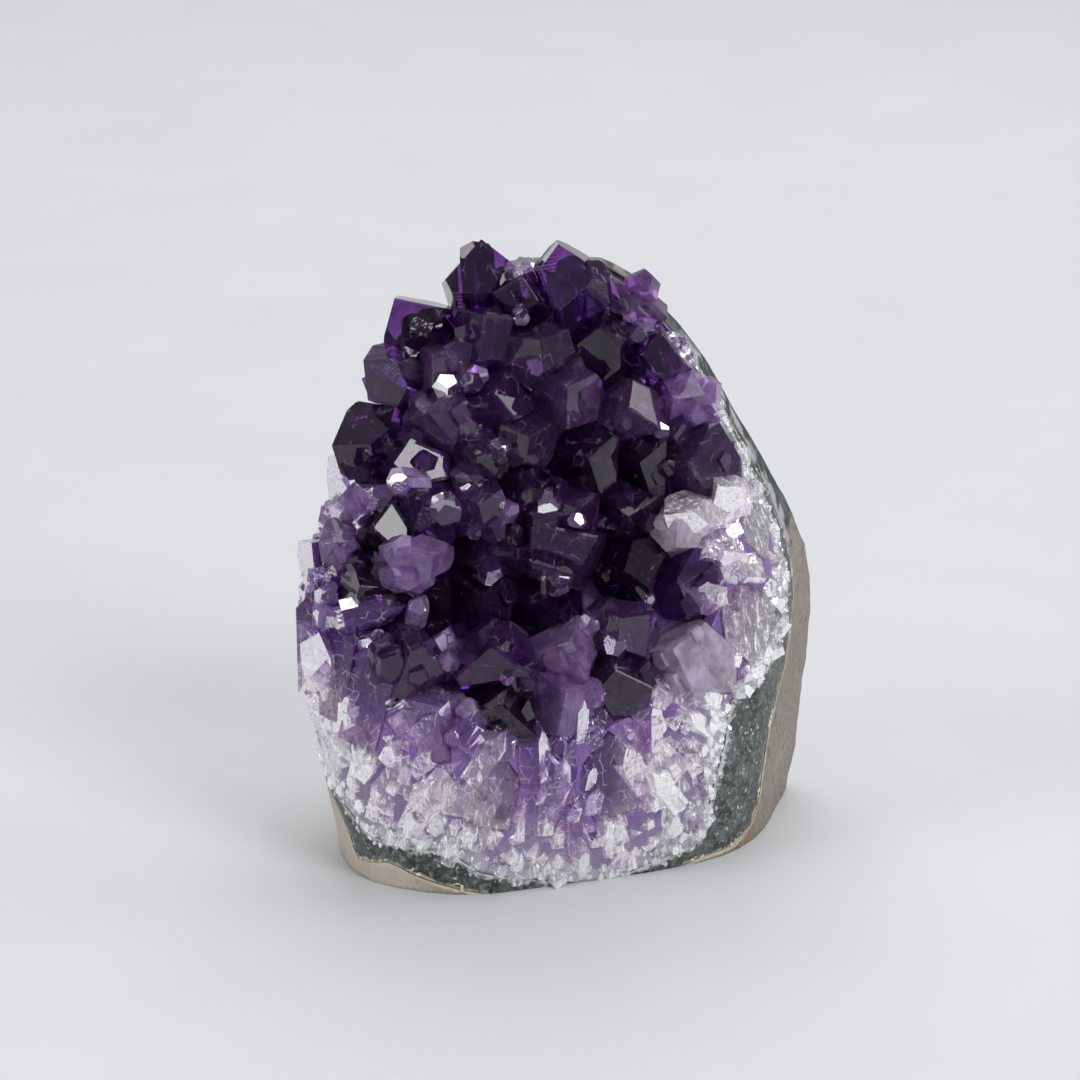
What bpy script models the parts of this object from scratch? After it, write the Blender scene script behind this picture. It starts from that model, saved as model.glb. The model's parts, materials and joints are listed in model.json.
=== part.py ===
"""Amethyst geode section: a piece of a geode's wall, cut flat to stand on its base.

From the outside in, the wall is weathered basalt, a band of green celadonite and a bed of
quartz. The amethyst crystals are rooted in the bed and meet each other on flat growth faces.

Frame: the base lies on z = 0, +Z is up, and the crystals face -Y. The lengths below are in
millimetres, and every object is built in metres.
"""

import math
import random

import bmesh
import bpy
from mathutils import Matrix, Vector

MM = 0.001
GAP = 0.3  # clearance between neighbouring solids
SEED = 11

# The standing section: its outline at the base, as (x, y), and how far it reaches at each height.
BASE_OUTLINE = [
    (-38, -11), (-32, -24), (-18, -30), (-5, -27), (22, -15.5), (33, -3), (38, 14),
    (40, 27), (30, 33), (6, 33), (-18, 30), (-33, 19), (-38, 3),
]
# (height, left, right, front, back)
REACH = [
    (0, -38, 41, -31.2, 31.8),
    (8, -39.5, 42.8, -32.2, 32.8),
    (20, -41.5, 44, -32.2, 33.3),
    (34, -43.5, 45, -30.7, 32.8),
    (46, -44, 43.8, -28.2, 31.3),
    (58, -39.5, 38.4, -24.7, 28.3),
    (70, -33, 31.6, -20.2, 23.8),
    (82, -26, 25, -14.7, 17.8),
    (92, -19.5, 17.5, -9.7, 11.8),
    (98, -14, 12, -6.2, 7.3),
    (101, -8, 7, -3.2, 4.3),
]
OUTLINE_STEPS = 3  # points along each span of the outline
HEIGHT_STEPS = 2  # rings along each span of the heights

# The bowls that part the layers, as (x, z) outlines where they open, well in front of the section.
# The green layer and the quartz pass out of sight round the right-hand side above z = 50.
CELADONITE_EDGE = [
    (5, -4), (24, -1.2), (31, -1.6), (35.5, -0.5), (37.5, 4), (38, 9), (39.5, 17), (42.5, 24),
    (47, 31), (51.5, 40), (55, 52), (55, 66), (52, 86), (43.5, 107), (30, 126), (6, 140),
    (-25, 138), (-47, 114), (-56, 81), (-54, 50), (-49, 27), (-45, 15), (-42, 11), (-39, 10),
    (-36, 6.5), (-34.5, 2.5), (-29, 4), (-25.5, 2.8), (-20, 1.2), (-13, -0.3),
]
QUARTZ_EDGE = [
    (5, -1.5), (14, -0.2), (22.5, 1.6), (25.5, 4), (27, 11), (29.5, 20), (30.5, 27), (36, 28),
    (41, 31), (47, 37), (51, 48), (51.5, 62), (49, 84), (43.5, 108), (31, 128), (6, 144),
    (-26, 142), (-48, 116), (-54, 81), (-51, 50), (-47.5, 28), (-44, 17.5), (-40.5, 14.5),
    (-36, 11), (-31, 8), (-24, 7.6), (-18, 7), (-13.5, 3.6), (-5, 1.2),
]
DRUSE_EDGE = [
    (0, 24), (12, 27), (22, 33), (29, 44), (32, 56), (30.5, 68), (24.5, 81), (16, 95),
    (3, 112), (-22, 116), (-47, 100), (-56, 74), (-52, 54), (-37, 44), (-26, 32.5), (-17, 26),
]
RIND_AT_BACK = (3.0, 0.10)  # basalt, as a thickness and a share of the section's depth
BAND_AT_BACK = (-3.2, 0.125)  # celadonite, in the same way: it thins out near the top
POCKET_DEPTH = 9.0  # from the polished front to the floor between the crystals
HOLLOW_DEPTH = 6.0  # how much deeper the middle of the druse is
HOLLOW_CENTRE = (-4, 51)
HOLLOW_RADIUS = 17
BOWL_FRONT = -48  # the bowls open in front of the section
BOWL_CENTRE_Z = 50
BOWL_POWER = 3.0
POCKET_POWER = 5.0

PYRAMID_TILT = math.radians(51.8)  # from quartz's long axis to the normal of a tip face

# One row for each crystal of the druse: tip x, tip z, how far the tip stands out of the front,
# lean of the long axis to +X and to +Z for each unit towards -Y, radius, length and colour.
CROWN = [
    (-13, 105, 1, -0.15, 2.6, 7.2, 22, "dark"),
    (-0.5, 104.5, 3, -0.3, 1.8, 7.6, 21, "deep"),
    (-6.5, 100, 4, 0.0, 1.5, 5.6, 17, "dark"),
    (8, 99, 2, -0.5, 0.7, 6.0, 13, "mauve"),
    (-27, 95.5, 0, -1.1, 1.9, 7.4, 21, "dark"),
    (-32.5, 86, 1, -1.6, 0.9, 6.4, 18, "grey"),
    (-37, 73, 3, -1.7, 0.4, 8.0, 20, "dark"),
    (-21, 88, 5, -0.5, 0.8, 7.6, 19, "mauve"),
    (-13, 94, 5, -0.2, 1.0, 6.8, 17, "deep"),
    (-3.5, 91, 6, 0.0, 0.8, 8.4, 19, "grey"),
    (6.5, 91.5, 4, -0.1, 0.8, 7.4, 15, "dark"),
    (14, 86.5, 3, -0.4, 0.5, 7.4, 15, "dark"),
]
SHOULDER = [
    (-21, 79, 3, -0.4, 0.4, 7.6, 18, "mauve"),
    (-11, 82, 3, -0.1, 0.5, 7.4, 18, "deep"),
    (1, 82.5, 3, 0.0, 0.4, 7.4, 18, "mauve"),
    (11.5, 79, 3, -0.2, 0.3, 7.6, 17, "mauve"),
    (19, 79, 2, -0.3, 0.2, 6.4, 13, "violet"),
    (-27, 71, 4, -0.6, 0.3, 6.8, 16, "deep"),
    (-14, 73, 3, -0.2, 0.3, 6.2, 15, "grey"),
    (-5, 75.5, 4, 0.2, 0.4, 6.0, 16, "grey"),
    (4.5, 71.5, 3, -0.1, 0.3, 7.4, 17, "dark"),
    (22, 68.5, 4, -0.1, 0.2, 8.2, 17, "grey"),
    (13.5, 69.5, 2, -0.2, 0.2, 6.8, 15, "dark"),
]
LEFT_EDGE = [
    (-37, 63.5, 2, -1.3, 0.4, 5.6, 14, "violet"),
    (-40, 56.5, 2, -1.3, 0.5, 5.0, 13, "violet"),
    (-31, 61, 4, -0.7, 0.4, 6.6, 16, "dark"),
    (-33, 52, 3, -0.3, 0.4, 6.6, 15, "dark"),
]
CENTRE = [
    (-22.5, 65, 3, -0.2, 0.4, 6.2, 16, "deep"),
    (-13.5, 65.5, 3, -0.1, 0.4, 6.8, 17, "deep"),
    (-5.5, 67.5, 2, 0.1, 0.4, 5.8, 15, "dark"),
    (3, 63.5, 2, 0.3, 0.3, 6.2, 16, "deep"),
    (3.5, 55, 4, 0.4, -0.1, 8.4, 20, "grey"),
    (11.5, 61.5, 1, 0.0, 0.1, 6.6, 14, "dark"),
    (19.5, 60, 3, 0.1, 0.5, 4.6, 14, "lilac"),
    (-21.5, 57.5, 5, 0.5, 0.4, 6.8, 18, "violet"),
    (-11, 57.5, 1, 0.0, 0.2, 6.6, 15, "dark"),
    (-22.5, 50, 0, 0.1, 0.3, 6.0, 13, "dark"),
    (-13, 50, -2, 0.0, 0.3, 6.6, 13, "dark"),
    (-3, 47.5, -3, 0.0, 0.2, 6.4, 12, "dark"),
    (11, 52.5, 0, -0.2, 0.2, 6.8, 14, "dark"),
]
LOWER_ARC = [
    (-22.5, 43.5, 3, 0.5, 0.8, 7.0, 17, "grey"),
    (-11.5, 42.5, 3, -0.2, 0.8, 8.2, 18, "deep"),
    (1, 42, 1, 0.0, 0.6, 6.4, 15, "violet"),
    (10, 45, 3, -0.1, 0.7, 6.8, 15, "grey"),
    (19.5, 50, 1, -0.4, 0.4, 6.4, 13, "deep"),
    (19, 39.5, 2, -0.4, 0.6, 7.4, 15, "lilac"),
    (9.5, 37, 3, -0.1, 0.6, 6.4, 16, "grey"),
    (1, 34.5, 3, 0.0, 0.6, 7.2, 17, "violet"),
    (-9.5, 34, 4, 0.0, 0.3, 7.2, 17, "dark"),
    (-20, 33, 2, 0.1, 0.7, 6.8, 16, "violet"),
]
DRUSE = CROWN + SHOULDER + LEFT_EDGE + CENTRE + LOWER_ARC
# The crystals that lie along the rim, ground flush with it: tip x, tip z, the way the tip points
# along the surface as x and z, radius, length and colour.
RIM = [
    (-41, 49, -0.1, 1.0, 5.0, 19, "violet"),
    (-36, 45, 0.15, 1.0, 4.8, 17, "lilac"),
    (-30, 40.5, 0.3, 1.0, 4.8, 16, "lilac"),
    (-9.5, 25, 0.3, 1.0, 3.8, 13, "lilac"),
    (7, 26.5, -0.2, 1.0, 4.8, 15, "lilac"),
    (27.5, 46.5, -0.9, 0.8, 5.6, 13, "lilac"),
    (30.5, 58.5, -1.0, 0.2, 4.6, 9, "lilac"),
]
RIM_WIDTH = 2.4  # quartz left outside the crystals along the right-hand side
RIM_SINK = 1.6  # how far the long axis of a rim crystal lies behind the polished face

# name: (colour, roughness)
FINISHES = {
    "basalt": ((0.30, 0.27, 0.23), 0.75),
    "celadonite": ((0.07, 0.09, 0.085), 0.35),
    "quartz": ((0.72, 0.68, 0.76), 0.20),
    "dark": ((0.025, 0.010, 0.045), 0.06),
    "deep": ((0.055, 0.018, 0.100), 0.08),
    "grey": ((0.075, 0.055, 0.110), 0.08),
    "mauve": ((0.110, 0.060, 0.150), 0.12),
    "violet": ((0.170, 0.070, 0.260), 0.12),
    "lilac": ((0.450, 0.330, 0.540), 0.16),
}


def clear_scene():
    for old in list(bpy.data.objects):
        bpy.data.objects.remove(old)


def collection(name):
    made = bpy.data.collections.new(name)
    bpy.context.scene.collection.children.link(made)
    return made


def finish_material(name):
    colour, roughness = FINISHES[name]
    made = bpy.data.materials.new(name)
    made.use_nodes = True
    shader = made.node_tree.nodes["Principled BSDF"]
    shader.inputs["Base Color"].default_value = (*colour, 1)
    shader.inputs["Roughness"].default_value = roughness
    shader.inputs["Metallic"].default_value = 0
    return made


def spline(before, start, end, after, share):
    """A point on the Catmull-Rom curve from start to end, as a list of its coordinates."""
    made = []
    for a, b, c, d in zip(before, start, end, after):
        bend = (2 * a - 5 * b + 4 * c - d) * share**2 + (3 * b - a - 3 * c + d) * share**3
        made.append(b + 0.5 * ((c - a) * share + bend))
    return made


def closed_curve(points, steps):
    """Points along the smooth closed curve through the given ones."""
    count = len(points)
    return [
        spline(points[i - 1], points[i], points[(i + 1) % count], points[(i + 2) % count], s / steps)
        for i in range(count)
        for s in range(steps)
    ]


def drawn_in(curve, distance):
    """A closed anticlockwise curve moved inwards by a distance."""
    moved = []
    for before, here, after in zip(curve[-1:] + curve[:-1], curve, curve[1:] + curve[:1]):
        along = (Vector(after) - Vector(before)).normalized()
        moved.append(Vector(here) + Vector((-along.y, along.x)) * distance)
    return moved


def reach_rows(steps):
    """REACH with smooth rows in between."""
    ends = [REACH[0], *REACH, REACH[-1]]
    rows = [
        spline(ends[i], ends[i + 1], ends[i + 2], ends[i + 3], s / steps)
        for i in range(len(REACH) - 1)
        for s in range(steps)
    ]
    return rows + [list(REACH[-1])]


def reach_at(z):
    """[left, right, front, back] at one height."""
    rows = reach_rows(8)
    z = min(max(z, rows[0][0]), rows[-1][0])
    above = next(i for i in range(1, len(rows)) if rows[i][0] >= z)
    low, high = rows[above - 1], rows[above]
    share = (z - low[0]) / (high[0] - low[0])
    return [a + (b - a) * share for a, b in zip(low[1:], high[1:])]


def section_at(reach):
    """The section's outline, stretched to one row of reaches."""
    left, right, front, back = reach
    outline = closed_curve(BASE_OUTLINE, OUTLINE_STEPS)
    xs, ys = [p[0] for p in outline], [p[1] for p in outline]
    wide, deep = max(xs) - min(xs), max(ys) - min(ys)
    return [
        (left + (x - min(xs)) / wide * (right - left), front + (y - min(ys)) / deep * (back - front))
        for x, y in outline
    ]


def front_at(x, z):
    """How far forward the section's front lies at (x, z)."""
    section = section_at(reach_at(z))
    inset = 2.0
    x = min(max(x, min(p[0] for p in section) + inset), max(p[0] for p in section) - inset)
    crossings = []
    for (x0, y0), (x1, y1) in zip(section, section[1:] + section[:1]):
        if min(x0, x1) <= x <= max(x0, x1) and x0 != x1:
            crossings.append(y0 + (y1 - y0) * (x - x0) / (x1 - x0))
    return min(crossings)


def loft(name, rings, home, pole=None):
    """A closed solid through rings of equal length. The last ring closes on a pole, or flat."""
    mesh = bmesh.new()
    loops = [[mesh.verts.new(Vector(p) * MM) for p in ring] for ring in rings]
    for low, high in zip(loops, loops[1:]):
        for i in range(len(low)):
            j = (i + 1) % len(low)
            mesh.faces.new((low[i], low[j], high[j]))
            mesh.faces.new((low[i], high[j], high[i]))
    mesh.faces.new(reversed(loops[0]))
    if pole is None:
        mesh.faces.new(loops[-1])
    else:
        top = mesh.verts.new(Vector(pole) * MM)
        for before, here in zip(loops[-1][-1:] + loops[-1][:-1], loops[-1]):
            mesh.faces.new((before, here, top))
    bmesh.ops.recalc_face_normals(mesh, faces=mesh.faces)
    bmesh.ops.triangulate(mesh, faces=[f for f in mesh.faces if len(f.verts) > 4])
    data = bpy.data.meshes.new(name)
    mesh.to_mesh(data)
    mesh.free()
    made = bpy.data.objects.new(name, data)
    home.objects.link(made)
    return made


def section_solid(name, home):
    """The whole section as it is cut and polished, before it is parted into layers."""
    rings = [[(x, y, row[0]) for x, y in section_at(row[1:])] for row in reach_rows(HEIGHT_STEPS)]
    return loft(name, rings, home)


def bowl(name, outline, back_of, power, home, inset=0.0):
    """A bowl that opens to the front: the outline shrinks about its middle as it goes back."""
    steps = 9
    middle = Vector((0, BOWL_CENTRE_Z))
    rings = []
    for k in range(steps):
        depth = math.sin(0.5 * math.pi * k / (steps - 0.6))
        size = (1 - depth**power) ** (1 / power)
        ring = []
        for point in drawn_in(closed_curve(outline, 2), inset):
            arm = point - middle
            x, z = middle + arm * (size - (1 - size) * inset / arm.length)
            back = back_of(x, z) - inset
            ring.append((x, BOWL_FRONT + depth * (back - BOWL_FRONT), z))
        rings.append(ring)
    pole = (middle.x, back_of(*middle) - inset, middle.y)
    return loft(name, rings, home, pole)


def behind(*layers):
    """The surface that lies in from the section's back by the thickness of these layers."""

    def surface(x, z):
        _, _, front, back = reach_at(z)
        return back - sum(least + share * (back - front) for least, share in layers)

    return surface


def pocket_floor(x, z):
    """The surface between the crystals' roots, deepest at the hollow."""
    away = math.dist((x, z), HOLLOW_CENTRE) / HOLLOW_RADIUS
    return front_at(x, z) + POCKET_DEPTH + HOLLOW_DEPTH * math.exp(-away * away)


def cut_flat(mesh, point, normal):
    """Cuts off what lies beyond a plane, and closes the face."""
    parts = mesh.verts[:] + mesh.edges[:] + mesh.faces[:]
    cut = bmesh.ops.bisect_plane(
        mesh, geom=parts, dist=1e-7, plane_co=point, plane_no=normal, clear_outer=True
    )
    edges = [e for e in cut["geom_cut"] if isinstance(e, bmesh.types.BMEdge)]
    if len(edges) > 2:
        bmesh.ops.holes_fill(mesh, edges=edges)


def on_front(x, z):
    """The point of the section's front at (x, z), and the way that the front faces there."""
    step = 1.5
    here = front_at(x, z)
    slope_x = (front_at(x + step, z) - front_at(x - step, z)) / (2 * step)
    slope_z = (front_at(x, z + step) - front_at(x, z - step)) / (2 * step)
    return Vector((x, here, z)), Vector((slope_x, -1, slope_z)).normalized()


class Crystal:
    """One crystal's place, size and uneven faces. Lengths are in metres from here on."""

    def __init__(self, number, tip, axis, size, finish, chance):
        self.name = f"crystal_{number:02d}"
        self.radius, self.length = (value * MM for value in size)
        self.finish = finish
        self.axis = axis.normalized()
        self.tip = tip * MM
        turn = Matrix.Rotation(chance.uniform(0, math.tau), 4, "Z")
        along = self.axis.to_track_quat("Z", "Y").to_matrix().to_4x4()
        self.place = Matrix.Translation(self.tip) @ along @ turn
        self.sides = [chance.uniform(0.86, 1.06) for _ in range(6)]
        self.tips = [chance.uniform(0.0, 0.10) + 0.32 * (k % 2) for k in range(6)]
        self.contacts = []  # (point, normal) of the faces that it shares, and of its ground face

    def shoulder(self):
        """The point on the long axis where the tip's faces begin."""
        return self.tip - self.axis * self.radius

    def planes(self, grown):
        """The crystal's own faces in its local frame, each moved out by grown."""
        for k in range(6):
            angle = math.tau * k / 6
            out = Vector((math.cos(angle), math.sin(angle), 0))
            yield out * (self.radius * self.sides[k] + grown), out
            lean = out * math.sin(PYRAMID_TILT) + Vector((0, 0, math.cos(PYRAMID_TILT)))
            yield lean * (self.radius * self.tips[k] + grown), lean
        root = Vector((0, 0, -1))
        yield root * (self.length + grown), root

    def solid(self, name, home, grown=0.0):
        """The crystal cut from a block, face by face."""
        mesh = bmesh.new()
        bmesh.ops.create_cube(mesh, size=4 * self.length)
        for point, normal in self.planes(grown):
            cut_flat(mesh, point, normal)
        local = self.place.inverted()
        for point, normal in self.contacts:
            out = (local.to_3x3() @ normal).normalized()
            cut_flat(mesh, local @ point + out * grown, out)
        bmesh.ops.recalc_face_normals(mesh, faces=mesh.faces)
        data = bpy.data.meshes.new(name)
        mesh.to_mesh(data)
        mesh.free()
        made = bpy.data.objects.new(name, data)
        made.matrix_world = self.place
        home.objects.link(made)
        return made


def side_face(z, side, inside):
    """A plane along the left (side -1) or right (1) of the section at one height: a point and
    a normal. It lies this far inside the surface."""
    step = 2.0
    reach = [side * reach_at(height)[(side + 1) // 2] for height in (z - step, z, z + step)]
    normal = Vector((side, 0, (reach[0] - reach[2]) / (2 * step))).normalized()
    return Vector((side * (reach[1] - inside), 0, z)) * MM, normal


def druse_crystal(number, row, chance):
    x, z, proud, lean_x, lean_z, radius, length, finish = row
    tip = Vector((x, front_at(x, z) - proud, z))
    made = Crystal(number, tip, Vector((lean_x, -1, lean_z)), (radius, length), finish, chance)
    if x > 0:
        made.contacts.append(side_face(z, 1, RIM_WIDTH))
    return made


def rim_crystal(number, row, chance):
    x, z, way_x, way_z, radius, length, finish = row
    point, outward = on_front(x, z)
    way = Vector((way_x, 0, way_z))
    way -= outward * way.dot(outward)
    made = Crystal(number, point - outward * RIM_SINK, way, (radius, length), finish, chance)
    middle, face = on_front(*(point - way.normalized() * (0.4 * length)).xz)
    made.contacts.append((middle * MM, face))
    made.contacts.append(side_face(middle.z, 1 if x > 0 else -1, 0.0))
    return made


def part_neighbours(crystals):
    """Gives each pair of crystals that would meet one flat contact, in the ratio of their radii."""
    for i, first in enumerate(crystals):
        for second in crystals[i + 1:]:
            between = second.shoulder() - first.shoulder()
            reach = 2.2 * (first.radius + second.radius)
            if between.length > reach:
                continue
            mean = (first.axis + second.axis).normalized()
            normal = (between - mean * between.dot(mean)).normalized()
            share = first.radius / (first.radius + second.radius)
            point = first.shoulder() + between * share
            first.contacts.append((point - normal * (0.5 * GAP * MM), normal))
            second.contacts.append((point + normal * (0.5 * GAP * MM), -normal))


def boolean(target, operation, cutter):
    made = target.modifiers.new(f"{operation.lower()} {cutter.name}", "BOOLEAN")
    made.operation = operation
    if isinstance(cutter, bpy.types.Collection):
        made.operand_type = "COLLECTION"
        made.collection = cutter
    else:
        made.object = cutter


def without_crumbs(layer):
    """Applies a layer's cuts, and drops the loose crumbs that they leave between the sockets."""
    mesh = bmesh.new()
    mesh.from_object(layer, bpy.context.evaluated_depsgraph_get())
    unseen = set(mesh.verts)
    pieces = []
    while unseen:
        piece, edge = set(), {unseen.pop()}
        while edge:
            piece |= edge
            edge = {e.other_vert(v) for v in edge for e in v.link_edges} - piece
        unseen -= piece
        pieces.append(piece)
    largest = max(pieces, key=len)
    bmesh.ops.delete(mesh, geom=[v for v in mesh.verts if v not in largest], context="VERTS")
    layer.modifiers.clear()
    mesh.to_mesh(layer.data)
    mesh.free()


def as_cutter(made):
    made.hide_render = True
    made.display_type = "WIRE"
    return made


def main():
    clear_scene()
    parts = collection("amethyst_geode")
    cutters = collection("cutters")
    sockets = collection("sockets")

    chance = random.Random(SEED)
    crystals = [druse_crystal(n + 1, row, chance) for n, row in enumerate(DRUSE)]
    crystals += [rim_crystal(n + 1 + len(DRUSE), row, chance) for n, row in enumerate(RIM)]
    part_neighbours(crystals)
    finishes = {name: finish_material(name) for name in FINISHES}
    for crystal in crystals:
        made = crystal.solid(crystal.name, parts)
        made.data.materials.append(finishes[crystal.finish])
        as_cutter(crystal.solid(f"socket_{crystal.name}", sockets, GAP * MM))

    celadonite_back = behind(RIND_AT_BACK)
    quartz_back = behind(RIND_AT_BACK, BAND_AT_BACK)

    def layer_bowl(name, edge, back_of, inset=0.0):
        return as_cutter(bowl(name, edge, back_of, BOWL_POWER, cutters, inset))

    celadonite_hole = layer_bowl("celadonite_hole", CELADONITE_EDGE, celadonite_back)
    celadonite_fill = layer_bowl("celadonite_fill", CELADONITE_EDGE, celadonite_back, GAP)
    quartz_hole = layer_bowl("quartz_hole", QUARTZ_EDGE, quartz_back)
    quartz_fill = layer_bowl("quartz_fill", QUARTZ_EDGE, quartz_back, GAP)
    pocket = as_cutter(bowl("druse_pocket", DRUSE_EDGE, pocket_floor, POCKET_POWER, cutters))

    rind = section_solid("basalt_rind", parts)
    boolean(rind, "DIFFERENCE", celadonite_hole)
    boolean(rind, "DIFFERENCE", quartz_hole)
    band = section_solid("celadonite_band", parts)
    boolean(band, "INTERSECT", celadonite_fill)
    boolean(band, "DIFFERENCE", quartz_hole)
    bed = section_solid("quartz_bed", parts)
    boolean(bed, "INTERSECT", quartz_fill)
    boolean(bed, "DIFFERENCE", pocket)
    for layer, finish in ((rind, "basalt"), (band, "celadonite"), (bed, "quartz")):
        boolean(layer, "DIFFERENCE", sockets)
        without_crumbs(layer)
        layer.data.materials.append(finishes[finish])


main()
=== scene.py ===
# %% [markdown]
# # An amethyst geode section
# The stone is a piece of a geode's wall, sawn flat so that it stands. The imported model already
# holds its true shape: three layers of rock and 57 crystals. This script loads that model as a
# fixed frame, and gives each solid a finer surface and a mineral finish.

# %% Load the frame
import json
import math
import random

import bmesh
import bpy
from mathutils import Matrix, Vector, noise
from mathutils.bvhtree import BVHTree


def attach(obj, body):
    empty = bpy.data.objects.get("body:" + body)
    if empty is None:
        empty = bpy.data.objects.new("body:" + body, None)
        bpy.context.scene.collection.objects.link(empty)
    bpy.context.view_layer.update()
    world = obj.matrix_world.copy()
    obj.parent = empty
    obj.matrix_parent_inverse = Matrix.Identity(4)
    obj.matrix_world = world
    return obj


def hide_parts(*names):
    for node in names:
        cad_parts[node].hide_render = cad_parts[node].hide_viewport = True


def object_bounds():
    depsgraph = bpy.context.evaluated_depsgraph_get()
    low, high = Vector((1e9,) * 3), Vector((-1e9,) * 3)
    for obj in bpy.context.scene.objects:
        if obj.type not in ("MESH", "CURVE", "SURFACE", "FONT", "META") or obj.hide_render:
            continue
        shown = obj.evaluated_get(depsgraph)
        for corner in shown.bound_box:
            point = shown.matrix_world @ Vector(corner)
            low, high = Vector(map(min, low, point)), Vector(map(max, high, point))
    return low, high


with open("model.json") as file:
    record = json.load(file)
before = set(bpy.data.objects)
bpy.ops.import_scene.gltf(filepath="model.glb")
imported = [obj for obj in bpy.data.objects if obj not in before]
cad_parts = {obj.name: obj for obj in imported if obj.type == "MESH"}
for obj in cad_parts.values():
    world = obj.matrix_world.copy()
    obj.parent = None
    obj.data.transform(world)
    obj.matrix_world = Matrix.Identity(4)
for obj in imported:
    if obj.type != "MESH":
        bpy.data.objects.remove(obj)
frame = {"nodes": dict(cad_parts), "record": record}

MM = 0.001
SEED = 23
cad_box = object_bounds()
low_corner, high_corner = (Vector(corner) for corner in cad_box)
print(f"{(high_corner.z - low_corner.z) / MM:.1f} mm tall")

# %% [markdown]
# ## Floor, light and camera
# Polished stone shows the room as much as itself, so the studio comes first. One soft box stands
# in front on the right: it throws the soft shadow to the left and lights the flat faces like
# mirrors. A wide panel overhead and a pale world fill the rest, as a white room would.

# %% The floor
def in_scene(name, data):
    """A new object at the origin, linked to the scene."""
    made = bpy.data.objects.new(name, data)
    bpy.context.scene.collection.objects.link(made)
    return made


FLOOR_HALF = 3.0
shape = bmesh.new()
bmesh.ops.create_grid(shape, x_segments=2, y_segments=2, size=FLOOR_HALF)
floor_mesh = bpy.data.meshes.new("floor")
shape.to_mesh(floor_mesh)
shape.free()
floor = in_scene("floor", floor_mesh)
floor.location.z = low_corner.z - 0.02 * MM
print(f"floor {2 * FLOOR_HALF:.0f} m square")

# %% The lights
def soft_box(name, azimuth, elevation, distance, size, power, mirrored=True):
    """A square area light that looks at the middle of the stone. Polished faces may mirror it."""
    light = bpy.data.lights.new(name, "AREA")
    light.shape = "SQUARE"
    light.size = size
    light.energy = power
    made = in_scene(name, light)
    made.visible_glossy = mirrored
    turn, rise = math.radians(azimuth), math.radians(elevation)
    away = Vector((math.sin(turn) * math.cos(rise), -math.cos(turn) * math.cos(rise), math.sin(rise)))
    made.location = Vector((0, 0, 50 * MM)) + away * distance
    made.rotation_euler = away.to_track_quat("Z", "Y").to_euler()
    return made


# name, degrees from the front, degrees up, metres away, metres wide, watts
soft_box("key_box", 38, 33, 2.20, 0.90, 20.0)
soft_box("top_panel", 165, 70, 1.60, 1.60, 13.0)
soft_box("right_panel", 100, 28, 1.50, 0.54, 2.5)
soft_box("left_panel", -62, 24, 1.50, 0.50, 4.2)
soft_box("front_fill", 0, 45, 1.60, 1.40, 1.8, mirrored=False)
far_panel = soft_box("far_panel", 180, 45, 2.20, 1.60, 16.0, mirrored=False)
far_panel.rotation_euler = (0, 0, 0)
world = bpy.data.worlds.new("white_room")
world.use_nodes = True
world.node_tree.nodes["Background"].inputs["Color"].default_value = (0.93, 0.95, 1.0, 1)
world.node_tree.nodes["Background"].inputs["Strength"].default_value = 0.27
bpy.context.scene.world = world
bpy.context.scene.view_settings.view_transform = "Standard"
print("six panels and a pale room")

# %% The camera
LENS = 120
AIM = Vector((-3.4, -1.2, 53)) * MM
CAMERA_DISTANCE = 614.4 * MM
CAMERA_RISE = math.radians(15.5)

camera_data = bpy.data.cameras.new("camera")
camera_data.lens = LENS
camera_data.clip_start = 0.01
camera = in_scene("camera", camera_data)
camera.location = AIM + Vector((0, -math.cos(CAMERA_RISE), math.sin(CAMERA_RISE))) * CAMERA_DISTANCE
camera.rotation_euler = (math.pi / 2 - CAMERA_RISE, 0, 0)
bpy.context.scene.camera = camera
print(f"a {LENS} mm lens, {CAMERA_DISTANCE:.2f} m away")

# %% [markdown]
# ## Writing node trees as sums
# A material is a long sum of small steps. Wired by hand it is hard to read, so a small class
# wraps a socket and lets Python's own operators add the Math nodes. Everything else comes from
# one method that takes a node's type, its settings and what goes into its sockets.

# %% Values and graphs
class Value:
    """A socket that Python's arithmetic adds Math nodes to."""

    def __init__(self, graph, socket):
        self.graph = graph
        self.socket = socket

    def combine(self, operation, first, second):
        return self.graph.node("ShaderNodeMath", {"operation": operation}, {0: first, 1: second})

    def __add__(self, other):
        return self.combine("ADD", self, other)

    def __sub__(self, other):
        return self.combine("SUBTRACT", self, other)

    def __rsub__(self, other):
        return self.combine("SUBTRACT", other, self)

    def __mul__(self, other):
        return self.combine("MULTIPLY", self, other)

    def __truediv__(self, other):
        return self.combine("DIVIDE", self, other)

    def __rtruediv__(self, other):
        return self.combine("DIVIDE", other, self)

    def __pow__(self, other):
        return self.combine("POWER", self, other)

    __radd__ = __add__
    __rmul__ = __mul__


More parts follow.
